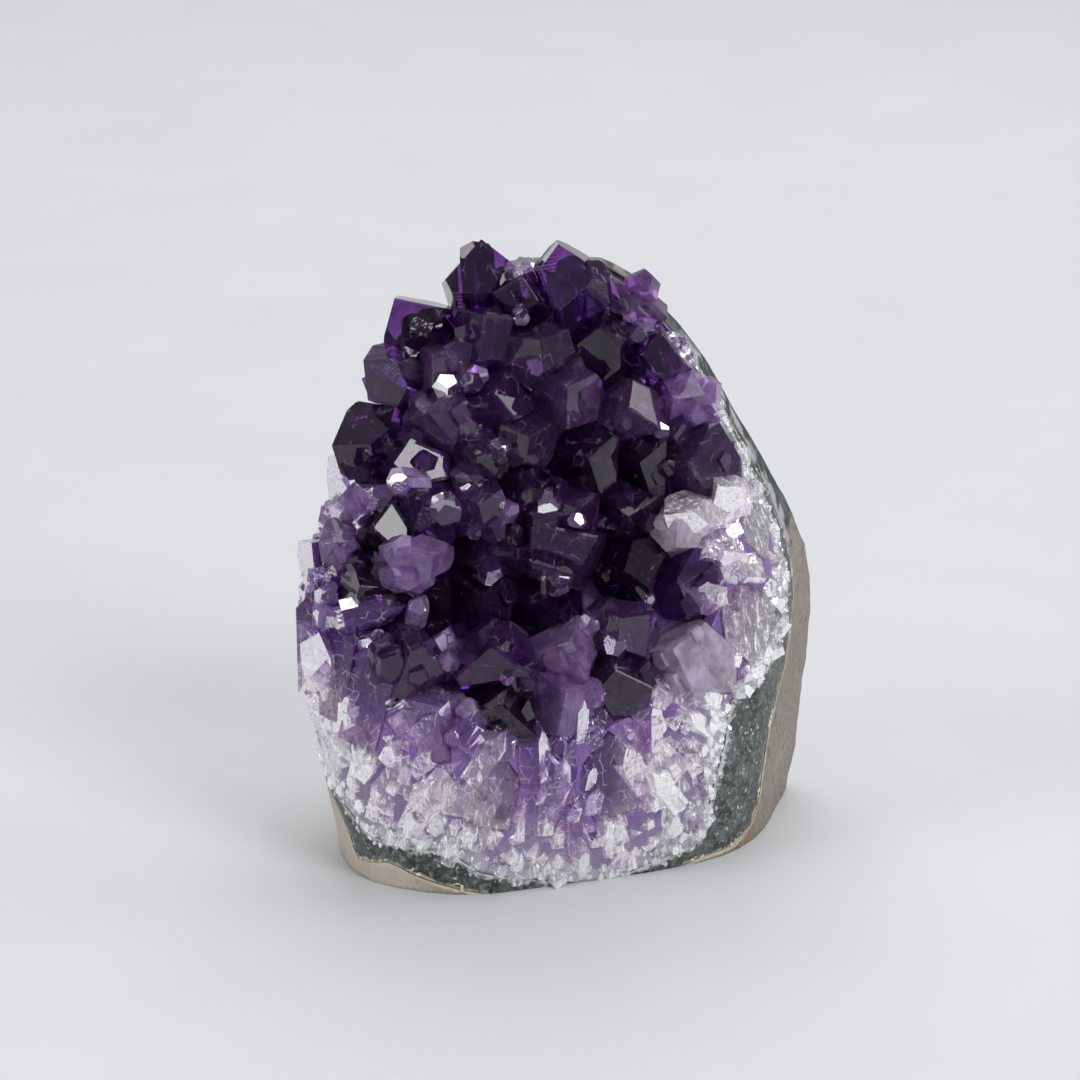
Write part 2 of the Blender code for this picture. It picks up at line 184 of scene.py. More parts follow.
class Graph:
    """A node tree that is built by a script."""

    def __init__(self, tree):
        self.tree = tree
        tree.nodes.clear()

    def node(self, kind, settings=None, sockets=None, output=0):
        """Adds a node and returns one of its outputs. Its settings are set before its sockets."""
        made = self.tree.nodes.new(kind)
        for name, value in (settings or {}).items():
            setattr(made, name, value)
        for name, value in (sockets or {}).items():
            if isinstance(value, Value):
                self.tree.links.new(value.socket, made.inputs[name])
            else:
                made.inputs[name].default_value = value
        return Value(self, made.outputs[output]) if made.outputs else made

    def attribute(self, name):
        return self.node("ShaderNodeAttribute", {"attribute_name": name}, output="Fac")

    def step(self, value, low, high):
        """0 at low, 1 at high, and smooth in between. Low may also be the larger of the two."""
        sockets = {"Value": value, "From Min": low, "From Max": high}
        return self.node("ShaderNodeMapRange", {"interpolation_type": "SMOOTHSTEP"}, sockets)

    def blend(self, share, first, second):
        """A mix of two colours. The share goes to the second one."""
        first, second = ((*c, 1) if isinstance(c, tuple) else c for c in (first, second))
        return self.node("ShaderNodeMix", {"data_type": "RGBA"}, {0: share, 6: first, 7: second}, 2)

    def place(self, stretch=(1, 1, 1)):
        """Where a point lies, in millimetres, with the axes stretched."""
        spot = self.node("ShaderNodeTexCoord", output="Object")
        sockets = {"Vector": spot, "Scale": tuple(s / MM for s in stretch)}
        return self.node("ShaderNodeMapping", {}, sockets)

    def along(self, axis):
        """How far a point lies along X, Y or Z, in millimetres."""
        return self.node("ShaderNodeSeparateXYZ", {}, {0: self.place()}, axis)

    def clouds(self, place, size, detail=3.0, rough=0.55, distortion=0.0):
        """Soft noise from 0 to 1 whose patches are about this many millimetres wide."""
        sockets = {"Vector": place, "Scale": 1 / size, "Detail": detail}
        sockets |= {"Roughness": rough, "Distortion": distortion}
        return self.node("ShaderNodeTexNoise", {}, sockets)

    def cells(self, place, size, feature="F1", output="Distance"):
        """Cells about this many millimetres wide."""
        sockets = {"Vector": place, "Scale": 1 / size}
        return self.node("ShaderNodeTexVoronoi", {"feature": feature}, sockets, output)

    def edges(self, place, size):
        """How far a point is from the edge of its cell, as a share of the cell's size."""
        return self.cells(place, size, "DISTANCE_TO_EDGE")

    def vector(self, operation, sockets, output="Vector"):
        return self.node("ShaderNodeVectorMath", {"operation": operation}, sockets, output)

    def warped(self, place, size, amount):
        """The place, pushed about by noise, so that straight patterns become natural ones."""
        noisy = {"Vector": place, "Scale": 1 / size, "Detail": 2.0}
        push = self.node("ShaderNodeTexNoise", {}, noisy, "Color")
        centred = self.vector("SUBTRACT", {0: push, 1: (0.5, 0.5, 0.5)})
        scaled = self.vector("SCALE", {0: centred, "Scale": amount})
        return self.vector("ADD", {0: place, 1: scaled})

    def bump(self, height, distance, strength=1.0):
        """A Bump node whose height of 1 stands for this many millimetres."""
        sockets = {"Height": height, "Distance": distance * MM, "Strength": strength}
        return self.node("ShaderNodeBump", {}, sockets)


def finish(name, build):
    """A material from the sockets that build returns. A veil is a milky shader mixed over it."""
    made = bpy.data.materials.new(name)
    made.use_nodes = True
    graph = Graph(made.node_tree)
    sockets = build(graph)
    veil = sockets.pop("veil", None)
    shader = graph.node("ShaderNodeBsdfPrincipled", {}, sockets)
    if veil:
        share, colour = veil
        milky = {"Base Color": colour, "Roughness": 0.35, "Normal": sockets["Normal"]}
        milky = graph.node("ShaderNodeBsdfPrincipled", {}, milky)
        shader = graph.node("ShaderNodeMixShader", {}, {0: share, 1: shader, 2: milky})
    graph.node("ShaderNodeOutputMaterial", {}, {"Surface": shader})
    return made


print("values and graphs are ready")

# %% [markdown]
# ## The floor's finish
# A painted board: almost white, cool, with a faint unevenness and a slight sheen.

# %% Floor paint
def floor_paint(graph):
    place = graph.place()
    mottle = graph.clouds(place, 60.0, 4.0)
    colour = graph.blend(mottle, (0.66, 0.67, 0.69), (0.70, 0.71, 0.73))
    return {"Base Color": colour, "Roughness": 0.38 + 0.1 * mottle, "Specular IOR Level": 0.35}


floor.data.materials.append(finish("floor_paint", floor_paint))
print("floor painted")

# %% [markdown]
# ## Basalt
# The host rock is a fine-grained, weathered basalt: warm grey-brown, matt, with darker pits where
# gas bubbles were and rust where iron has bled out. A cream seam of clay and chalcedony runs where
# it meets the green layer. The seam is a colour that depends on the distance to that layer, which
# is stored on the mesh as an attribute.

# %% Basalt finish
def basalt(graph):
    place = graph.place()
    broad = graph.clouds(place, 16.0, 4.0)
    grain = graph.clouds(place, 0.9, 3.0, 0.7)
    pits = graph.step(graph.cells(graph.warped(place, 1.2, 2.4), 3.4), 0.26, 0.10)
    pits = pits * graph.step(graph.clouds(place, 6.0, 2.0), 0.46, 0.60)
    colour = graph.blend(broad, (0.150, 0.130, 0.106), (0.34, 0.30, 0.25))
    colour = graph.blend(graph.step(grain, 0.35, 0.75) * 0.55, colour, (0.44, 0.41, 0.36))
    colour = graph.blend(graph.step(grain, 0.42, 0.30) * 0.5, colour, (0.06, 0.055, 0.05))
    colour = graph.blend(pits * 0.55, colour, (0.055, 0.047, 0.038))
    rust = graph.step(graph.clouds(place, 13.0, 5.0, 0.6, 0.6), 0.58, 0.70)
    colour = graph.blend(rust * 0.55, colour, (0.33, 0.15, 0.055))
    # paler towards the low left
    low_left = graph.step(graph.along("X"), -14, -30) * graph.step(graph.along("Z"), 24, 8)
    colour = graph.blend(low_left * 0.70, colour, (0.74, 0.67, 0.57))
    # the cream seam
    wander = graph.clouds(place, 2.2, 3.0)
    seam = graph.step(graph.attribute("to_band") + wander * 1.5 * MM, 1.7 * MM, 1.25 * MM)
    colour = graph.blend(seam * 0.85, colour, (0.62, 0.57, 0.44))
    # the strip high on the right that was ground through to the green layer
    ragged = 22.0 * (graph.clouds(place, 6.0, 5.0, 0.6) - 0.5)
    grazed = graph.step(graph.along("Z") + ragged, 49, 53) * graph.step(graph.along("X") + ragged, 7, 10)
    grazed = grazed * graph.step(graph.along("Y") + 0.5 * ragged, 26, 21)
    streaks = graph.clouds(graph.place((1.0, 0.4, 0.25)), 1.6, 4.0, 0.6)
    skin = graph.blend(graph.step(streaks, 0.42, 0.60), (0.045, 0.060, 0.055), (0.42, 0.41, 0.45))
    edge = graph.step(graph.attribute("to_band") + wander * 3.0 * MM, 4.2 * MM, 6.0 * MM)
    skin = graph.blend(edge * 0.8, skin, (0.040, 0.055, 0.048))
    colour = graph.blend(grazed, colour, skin)
    height = 0.6 * grain + 0.4 * graph.clouds(place, 3.0, 3.0) - 0.7 * pits
    return {
        "Base Color": colour,
        "Roughness": 0.62 + 0.22 * grain,
        "Specular IOR Level": 0.35,
        "Normal": graph.bump(height, 0.35, 0.7),
    }


basalt_finish = finish("basalt", basalt)
print("basalt mixed")

# %% [markdown]
# ## Celadonite
# The dark grey-green band is celadonite clay and fine chalcedony: mottled, with white specks and
# small quartz grains. It is harder than the basalt and takes a dull polish.

# %% Celadonite finish
def celadonite(graph):
    place = graph.place()
    broad = graph.clouds(place, 3.2, 5.0, 0.65, 0.4)
    colour = graph.blend(graph.step(broad, 0.35, 0.68), (0.012, 0.017, 0.015), (0.105, 0.125, 0.115))
    mottle = graph.clouds(place, 0.9, 4.0, 0.7, 0.6)
    colour = graph.blend(graph.step(mottle, 0.50, 0.64) * 0.7, colour, (0.26, 0.30, 0.28))
    specks = graph.step(graph.cells(graph.warped(place, 0.9, 1.2), 1.1), 0.30, 0.12)
    gathered = graph.step(graph.clouds(place, 3.4, 3.0), 0.48, 0.60)
    colour = graph.blend(specks * gathered * 0.9, colour, (0.70, 0.73, 0.73))
    wander = graph.clouds(place, 2.0, 3.0)
    seam = graph.step(graph.attribute("to_rind") + wander * 2.4 * MM, 2.1 * MM, 1.5 * MM)
    colour = graph.blend(seam * 0.9, colour, (0.66, 0.62, 0.50))
    to_bed = graph.attribute("to_bed") + graph.clouds(place, 1.3, 3.0) * 3.4 * MM
    colour = graph.blend(graph.step(to_bed, 3.0 * MM, 2.3 * MM) * 0.8, colour, (0.60, 0.61, 0.62))
    return {
        "Base Color": colour,
        "Roughness": 0.25 + 0.30 * broad,
        "Specular IOR Level": 0.5,
        "Normal": graph.bump(broad + 0.6 * specks, 0.22, 0.6),
    }


celadonite_finish = finish("celadonite", celadonite)
print("celadonite mixed")

# %% [markdown]
# ## Milky quartz
# The first quartz to grow was white and cloudy. It clears and turns lilac, then purple, as it
# nears the crystals. Cut across and polished, it shows columns that stand square to the rock, and
# fine bright cracks. Light soaks into it, so the shader scatters some under the surface. Next to
# the band its white is painted greyer, as shade in the gaps between the rim's columns.

# %% Milky quartz finish
def milky_quartz(graph):
    place = graph.place()
    torn = graph.warped(place, 3.0, 2.2)
    columns = graph.cells(torn, 2.6, "F1", "Color")
    tone = graph.node("ShaderNodeSeparateColor", {}, {0: columns})
    cracks = graph.step(graph.edges(torn, 2.6), 0.05, 0.0)
    fine = graph.step(graph.edges(graph.warped(place, 1.2, 1.4), 1.1), 0.05, 0.0)
    reach = graph.attribute("to_band") / MM + 4.0 * (tone - 0.5) + 3.0 * (graph.clouds(place, 5.0) - 0.5)
    reach = reach + 20.0 * graph.step(graph.along("Z"), 78, 92)
    # the grey next to the band is the white quartz painted darker: painted shade in the gaps between the
    # rim's columns
    colour = graph.blend(graph.step(reach, 1.5, 5.0), (0.44, 0.43, 0.48), (0.25, 0.19, 0.34))
    colour = graph.blend(graph.step(reach, 6.0, 13.0), colour, (0.14, 0.07, 0.25))
    # deeper in the pocket, darker purple: partly the quartz's own purple, partly painted shade in the
    # gaps between crystals
    colour = graph.blend(graph.attribute("in_pocket"), colour, (0.24, 0.11, 0.42))
    near_druse = graph.step(graph.attribute("to_crystal"), 3.0 * MM, 0.5 * MM)
    colour = graph.blend(near_druse * 0.8, colour, (0.24, 0.11, 0.40))
    colour = graph.blend(cracks * 0.12 + fine * 0.10, colour, (0.88, 0.87, 0.92))
    return {
        "Base Color": colour,
        "Roughness": 0.14 + 0.25 * graph.clouds(place, 1.6, 3.0),
        "Subsurface Weight": 0.35,
        "Subsurface Radius": (1.0, 0.85, 1.0),
        "Subsurface Scale": 1.6 * MM,
        "IOR": 1.54,
        "Normal": graph.bump(tone + 0.5 * cracks, 0.25, 0.6),
    }


quartz_finish = finish("milky_quartz", milky_quartz)
print("milky quartz mixed")

# %% [markdown]
# ## Amethyst
# Amethyst is clear glass-like quartz whose purple gathers at the tip and fades towards the root.
# Each crystal carries three numbers on its mesh: how far back along it a point is, whether it is on
# a side face, and a tone of its own. Veils and healed cracks inside it show as lighter sheets. The
# faces are mirrors with faint growth lines across the sides, so roughness stays low and a very fine
# bump breaks the reflections.

# %% Amethyst finish
# name: (colour at the tip, colour at the root, share of light that passes, share of milkiness)
AMETHYST = {
    "amethyst_dark": ((0.074, 0.010, 0.140), (0.24, 0.08, 0.40), 0.96, 0.004),
    "amethyst_deep": ((0.180, 0.028, 0.330), (0.42, 0.16, 0.68), 0.95, 0.010),
    "amethyst_smoky": ((0.150, 0.046, 0.240), (0.40, 0.20, 0.58), 0.95, 0.015),
    "amethyst_mauve": ((0.290, 0.070, 0.440), (0.56, 0.28, 0.72), 0.94, 0.03),
    "amethyst_violet": ((0.460, 0.140, 0.760), (0.70, 0.42, 0.88), 0.93, 0.08),
    "amethyst_lilac": ((0.720, 0.480, 0.840), (0.90, 0.78, 0.92), 0.90, 0.16),
}
SPECK_COLOUR = (0.62, 0.50, 0.78)


def amethyst(tip, root, clear, milkiness):
    """One tone of amethyst."""

    def build(graph):
        place = graph.place()
        back = graph.attribute("back")
        tone = graph.attribute("tone")
        cloud = graph.clouds(place, 3.4, 3.0, 0.5, 0.5)
        fade = graph.step(back + 0.45 * (cloud - 0.5), 0.15, 0.85)
        colour = graph.blend(fade, tip, root)
        colour = graph.blend(graph.step(cloud + 0.5 * (tone - 0.5), 0.38, 0.78) * 0.6, colour, root)
        veil = graph.edges(graph.warped(place, 3.0, 1.2), 3.2)
        gathered = graph.step(graph.clouds(place, 2.4, 2.0), 0.48, 0.66)
        sheets = graph.step(veil, 0.050, 0.0) * gathered
        dust = graph.step(graph.clouds(place, 0.5, 2.0), 0.60, 0.74) * graph.step(cloud, 0.50, 0.66)
        snow = graph.step(graph.clouds(place, 2.8, 4.0, 0.6, 0.2), 0.35, 0.75)
        frost = graph.step(graph.clouds(place, 4.5, 4.0), 0.56, 0.72)
        lines = graph.node("ShaderNodeMath", {"operation": "SINE"}, {0: back * 190.0})
        height = 0.10 * lines * graph.attribute("side") + graph.clouds(place, 3.2, 3.0)
        veil_colour = graph.blend(sheets + 0.35 * snow, tuple(c**0.8 for c in root), SPECK_COLOUR)
        return {
            "Base Color": colour,
            "Roughness": 0.025 + 0.14 * frost * fade,
            "Transmission Weight": clear,
            "IOR": 1.55,
            "Normal": graph.bump(height, 0.07, 0.5),
            "veil": (milkiness + 2.0 * milkiness * snow + sheets * 0.16 + dust * 0.10, veil_colour),
        }

    return build


amethyst_finishes = {name: finish(name, amethyst(*colours)) for name, colours in AMETHYST.items()}
print(f"{len(amethyst_finishes)} tones of amethyst")

# %% [markdown]
# ## Copies of the solids
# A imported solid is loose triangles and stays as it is. Each piece starts from a copy whose
# corners are merged, and distances to the neighbouring layers are written on its points.

# %% Copying and refining
MERGE = 0.001 * MM  # corners closer than this are one corner
ONE_PLANE = math.radians(0.4)  # faces closer in angle than this are one face
SHORTEST = 0.002 * MM  # edges shorter than this are closed up


def own_copy(node):
    """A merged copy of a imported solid, as an editable mesh."""
    mesh = bmesh.new()
    mesh.from_mesh(frame["nodes"][node].data)
    bmesh.ops.remove_doubles(mesh, verts=mesh.verts, dist=MERGE)
    return mesh


def flat_faces(mesh):
    """Joins the triangles that lie in one plane into whole faces."""
    bmesh.ops.dissolve_limit(mesh, angle_limit=ONE_PLANE, verts=mesh.verts, edges=mesh.edges)


def finer(mesh, longest):
    """Splits edges until none is much longer than this."""
    bmesh.ops.triangulate(mesh, faces=mesh.faces)
    for _ in range(7):
        edges = [e for e in mesh.edges if e.calc_length() > longest]
        if not edges:
            break
        bmesh.ops.subdivide_edges(mesh, edges=edges, cuts=1)
        bmesh.ops.triangulate(mesh, faces=[f for f in mesh.faces if len(f.verts) > 3])


def surface_of(*nodes):
    """Solids as one tree that finds the nearest point."""
    joined = bmesh.new()
    for node in nodes:
        joined.from_mesh(frame["nodes"][node].data)
    made = BVHTree.FromBMesh(joined)
    joined.free()
    return made


def write(mesh, name, value_at):
    """Stores a number on each point."""
    layer = mesh.verts.layers.float.new(name)
    for v in mesh.verts:
        v[layer] = value_at(v)


def piece_from(mesh, name, material, slot, *nodes, sharp=32.0):
    """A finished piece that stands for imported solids."""
    data = bpy.data.meshes.new(name)
    bmesh.ops.dissolve_degenerate(mesh, dist=SHORTEST, edges=mesh.edges)
    mesh.to_mesh(data)
    mesh.free()
    if data.validate():
        print(f"{name} had faces to mend")
    data.materials.append(material)
    data.shade_smooth()
    data.set_sharp_from_angle(angle=math.radians(sharp))
    made = in_scene(name, data)
    if nodes:
        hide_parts(*nodes)
    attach(made, "root")
    return made


def count(made):
    """A piece's name and how many triangles it has."""
    return f"{made.name}: {sum(len(p.vertices) - 2 for p in made.data.polygons)} triangles"


def distance_to(surface):
    """A function of a point that measures how far it is from a surface."""
    return lambda v: surface.find_nearest(v.co)[3]


def between(value, low, high):
    """0 at low, 1 at high, and smooth in between."""
    share = min(max((value - low) / (high - low), 0.0), 1.0)
    return share * share * (3 - 2 * share)


DRUSE_COUNT = 50  # the crystals after these are ground flush with the rim
crystal_nodes = sorted(n for n in frame["nodes"] if n.startswith("crystal_"))
druse_nodes, rim_nodes = crystal_nodes[:DRUSE_COUNT], crystal_nodes[DRUSE_COUNT:]
band_surface = surface_of("celadonite_band")
rind_surface = surface_of("basalt_rind")
bed_surface = surface_of("quartz_bed")
crystal_surface = surface_of(*crystal_nodes)
print(f"{len(druse_nodes)} crystals in the druse, {len(rim_nodes)} in the rim")

# %% [markdown]
# ## The basalt rind
# Behind the ground front edge the rock keeps its natural skin, with broad hollows and small pits.
# The skin is pushed in, never out, so that the stone keeps its size, and less and less towards the
# polished edge and the flat base.

# %% Basalt rind
def worn(mesh, depth, keep_clear):
    """Pushes a rock's outer skin in by uneven amounts."""
    mesh.normal_update()
    moves = []
    for v in mesh.verts:
        room = between(keep_clear(v), 1.0 * MM, 9.0 * MM) * between(v.co.z, 0.2 * MM, 2.5 * MM)
        room *= 0.25 + 0.75 * between(v.normal.y, -0.1, 0.6)
        spot = v.co / MM
        broad = between(noise.noise(spot / 13.0), -0.45, 0.45)
        rough = between(noise.noise(spot / 4.5), -0.45, 0.45)
        fine = between(noise.noise(spot / 1.9), -0.45, 0.45)
        chips = min(1.0, noise.voronoi(spot / 9.0 + Vector((0, 0, rough * 0.5)))[0][0])
        pit = max(0.0, noise.noise(spot / 2.6 + Vector((40, 0, 0))) - 0.30)
        share = 0.38 * broad + 0.22 * rough + 0.07 * fine + 0.40 * chips + 0.5 * pit
        moves.append(v.normal * (-depth * room * share))
    for v, move in zip(mesh.verts, moves):
        v.co += move


rind_mesh = own_copy("basalt_rind")
flat_faces(rind_mesh)
finer(rind_mesh, 1.1 * MM)
write(rind_mesh, "to_band", distance_to(band_surface))
worn(rind_mesh, 2.6 * MM, distance_to(surface_of("celadonite_band", "quartz_bed", *crystal_nodes)))
rind = piece_from(rind_mesh, "basalt_rind_skin", basalt_finish, "basalt", "basalt_rind")
print(count(rind))

# %% [markdown]
# ## The green band
# Seen only as a strip between rock and quartz, it needs its two distances for the cream seam and
# for the white crumbs that mark where quartz began to grow.

# %% Green band
band_mesh = own_copy("celadonite_band")
flat_faces(band_mesh)
finer(band_mesh, 1.3 * MM)
write(band_mesh, "to_rind", distance_to(rind_surface))
write(band_mesh, "to_bed", distance_to(bed_surface))
band = piece_from(
    band_mesh, "celadonite_band_polished", celadonite_finish, "celadonite", "celadonite_band"
)
print(count(band))

# %% [markdown]
# ## The quartz bed
# One mass of quartz with sockets where the crystals stand. Its colour needs the distances to the
# green band and to the nearest crystal, and how deep a point lies in the pocket between them. Deep
# in the pocket it turns a darker purple: partly the quartz's own colour, partly painted shade in
# the gaps between the crystals.

# %% Quartz bed
def outer_skin():
    """The hull of the three layers, which is the surface that the saw and the polish left."""
    mesh = bmesh.new()
    for node in ("basalt_rind", "celadonite_band", "quartz_bed"):
        mesh.from_mesh(frame["nodes"][node].data)
    hull = bmesh.ops.convex_hull(mesh, input=mesh.verts)
    loose = [e for e in hull["geom_interior"] + hull["geom_unused"] if isinstance(e, bmesh.types.BMVert)]
    bmesh.ops.delete(mesh, geom=loose, context="VERTS")
    made = BVHTree.FromBMesh(mesh)
    mesh.free()
    return made


skin = outer_skin()
to_skin = distance_to(skin)
bed_mesh = own_copy("quartz_bed")
flat_faces(bed_mesh)
finer(bed_mesh, 1.0 * MM)
write(bed_mesh, "to_band", distance_to(band_surface))
write(bed_mesh, "to_crystal", distance_to(crystal_surface))
# how deep a point lies in the pocket; the colour uses it for painted shade between the crystals
write(bed_mesh, "in_pocket", lambda v: between(to_skin(v), 0.6 * MM, 3.5 * MM))
bed = piece_from(bed_mesh, "quartz_bed_polished", quartz_finish, "milky_quartz", "quartz_bed")
print(count(bed))

# %% [markdown]
# ## The crystals
# Each crystal is cut by flat faces, so its own solid is already right. What makes it look grown
# is at its edges: they are a little rounded and catch the light, and some faces carry a low
# terrace where the last layers stopped short. Quartz's faces keep fixed angles to its long axis,
# so the axis is the direction that most faces agree with.

# %% Crystals
TIP_TILT = math.radians(51.8)  # between a tip face's normal and the long axis
TIP_FACE_COS = math.cos(TIP_TILT)
SAME_COS = 0.004  # cosines closer than this are of one angle
LEAST_TERRACE = 6 * MM * MM  # smaller faces stay flat


def long_axis(mesh):
    """The direction of a crystal's tip, found from the angles between its faces."""
    normals = [f.normal.copy() for f in mesh.faces]

    def agreement(root):
        cosines = [n.dot(root) for n in normals]
        return sum(abs(c) < SAME_COS or abs(c + TIP_FACE_COS) < SAME_COS for c in cosines)

    return -max(normals, key=agreement)


def terraced(mesh, faces, chance):
    """Raises the middle of some faces by a hair, as unfinished growth layers do."""
    for face in faces:
        if face.calc_area() < LEAST_TERRACE or chance.random() < 0.35:
            continue
        rim = chance.uniform(0.25, 0.9) * MM
        rise = chance.choice((-1, 1)) * chance.uniform(0.04, 0.12) * MM
        bmesh.ops.inset_individual(mesh, faces=[face], thickness=rim, depth=rise, use_even_offset=True)


def fattened(mesh, amount):
    """Moves every face out by this much, so that neighbours all but meet."""
    moves = [v.normal * (amount * v.calc_shell_factor()) for v in mesh.verts]
    for v, move in zip(mesh.verts, moves):
        v.co += move


def quartz_point(mesh, tip, axis, radius, length, chance):
    """Adds a six-sided crystal: a block cut by six side faces, six tip faces and a root."""
    made = bmesh.new()
    bmesh.ops.create_cube(made, size=4 * length)
    planes = [(Vector((0, 0, -length)), Vector((0, 0, -1)))]
    for k in range(6):
        out = Vector((math.cos(math.tau * k / 6), math.sin(math.tau * k / 6), 0))
        lean = out * math.sin(TIP_TILT) + Vector((0, 0, math.cos(TIP_TILT)))
        planes.append((out * radius * chance.uniform(0.84, 1.06), out))
        planes.append((lean * radius * (chance.uniform(0, 0.12) + 0.34 * (k % 2)), lean))
    for point, normal in planes:
        parts = made.verts[:] + made.edges[:] + made.faces[:]
        cut = bmesh.ops.bisect_plane(
            made, geom=parts, dist=1e-8, plane_co=point, plane_no=normal, clear_outer=True
        )
        edges = [e for e in cut["geom_cut"] if isinstance(e, bmesh.types.BMEdge)]
        if len(edges) > 2:
            bmesh.ops.holes_fill(made, edges=edges)
    along = axis.to_track_quat("Z", "Y").to_matrix().to_4x4()
    made.transform(Matrix.Translation(tip) @ along)
    bmesh.ops.recalc_face_normals(made, faces=made.faces)
    data = bpy.data.meshes.new("point")
    made.to_mesh(data)
    made.free()
    mesh.from_mesh(data)
    bpy.data.meshes.remove(data)


def side_growths(mesh, axis, chance):
    """Smaller crystals that grew in step with the large one and share its direction."""
    tip = max((v.co for v in mesh.verts), key=lambda co: co.dot(axis)).copy()
    ends = [v.co.dot(axis) for v in mesh.verts]
    length = max(ends) - min(ends)
    spread = [((v.co - tip) - axis * (v.co - tip).dot(axis)).length for v in mesh.verts]
    radius = 0.62 * max(spread)
    across = axis.orthogonal().normalized()
    for _ in range(chance.choice((3, 4, 5, 5))):
        turn = Matrix.Rotation(chance.uniform(0, math.tau), 3, axis)
        size = radius * chance.uniform(0.28, 0.60)
        place = turn @ across * (radius * chance.uniform(0.50, 0.95))
        drop = radius * chance.uniform(0.25, 1.10)
        quartz_point(mesh, tip + place - axis * drop, axis, size, 0.45 * length, chance)


DRUSE_MIDDLE = Vector((-4, -20, 52)) * MM
EDGE = 0.13 * MM  # how far faces move out to their neighbours, and how wide the edges are rounded


def crystal_piece(node, chance):
    """A finished crystal in place of a packed one."""
    mesh = own_copy(node)
    flat_faces(mesh)
    mesh.normal_update()
    if node in druse_nodes:
        axis = long_axis(mesh)
        fattened(mesh, EDGE)
        terraced(mesh, [f for f in mesh.faces if f.normal.dot(axis) > 0.3], chance)
        side_growths(mesh, axis, chance)
    else:
        middle = sum((v.co for v in mesh.verts), Vector()) / len(mesh.verts)
        axis = (DRUSE_MIDDLE - middle).normalized()
        fattened(mesh, EDGE)
    bmesh.ops.bevel(
        mesh, geom=mesh.edges[:], offset=EDGE, segments=1, affect="EDGES", clamp_overlap=True
    )
    ends = [v.co.dot(axis) for v in mesh.verts]
    tip, length = max(ends), max(ends) - min(ends)
    tone = chance.random()
    write(mesh, "back", lambda v: (tip - v.co.dot(axis)) / length)
    write(mesh, "to_band", distance_to(band_surface))
    write(mesh, "tone", lambda v: tone)
    write(mesh, "side", lambda v: 1.0 if abs(v.normal.dot(axis)) < 0.25 else 0.0)
    slot = slots[node]
    return piece_from(mesh, f"{slot}_{node}", amethyst_finishes[slot], slot, node, sharp=12.0)


def node_slots(record):
    """The material slot of each node."""
    return {part["node"]: part["material_slot"] for part in record["subparts"]}


slots = node_slots(frame["record"])
chance = random.Random(SEED)
crystals = {node: crystal_piece(node, chance) for node in crystal_nodes}
print(f"{len(crystals)} crystals, {sum(len(c.data.polygons) for c in crystals.values())} faces")

# %% [markdown]
# ## Scattering small crystals
# A thousand or so small crystals fill what the large ones leave. They follow a surface, so Geometry
# Nodes place them: points are spread over a carrier mesh, each gets a turned and scaled copy of
# one crystal, and the copies are made real. The carrier's attributes travel with the points, so
# each small crystal knows how far it is from the green band.

# %% A tree that scatters crystals
def geometry_tree(name, inputs):
    """A Geometry Nodes tree with named inputs, and the graph that builds it."""
    tree = bpy.data.node_groups.new(name, "GeometryNodeTree")
    graph = Graph(tree)
    for label, kind in {"Geometry": "Geometry", **inputs}.items():
        tree.interface.new_socket(label, in_out="INPUT", socket_type=f"NodeSocket{kind}")
    tree.interface.new_socket("Geometry", in_out="OUTPUT", socket_type="NodeSocketGeometry")
    given = tree.nodes.new("NodeGroupInput")
    return tree, graph, {label: Value(graph, given.outputs[label]) for label in ("Geometry", *inputs)}


def random_value(graph, low, high, seed, kind="FLOAT"):
    """A random number, or a random vector, for each point."""
    settings = {"data_type": kind}
    if kind == "FLOAT":
        return graph.node("FunctionNodeRandomValue", settings, {2: low, 3: high, 8: seed}, 1)
    return graph.node("FunctionNodeRandomValue", settings, {0: low, 1: high, 8: seed}, 0)


DENSEST = 4e6  # points to a square metre, before the spacing thins them


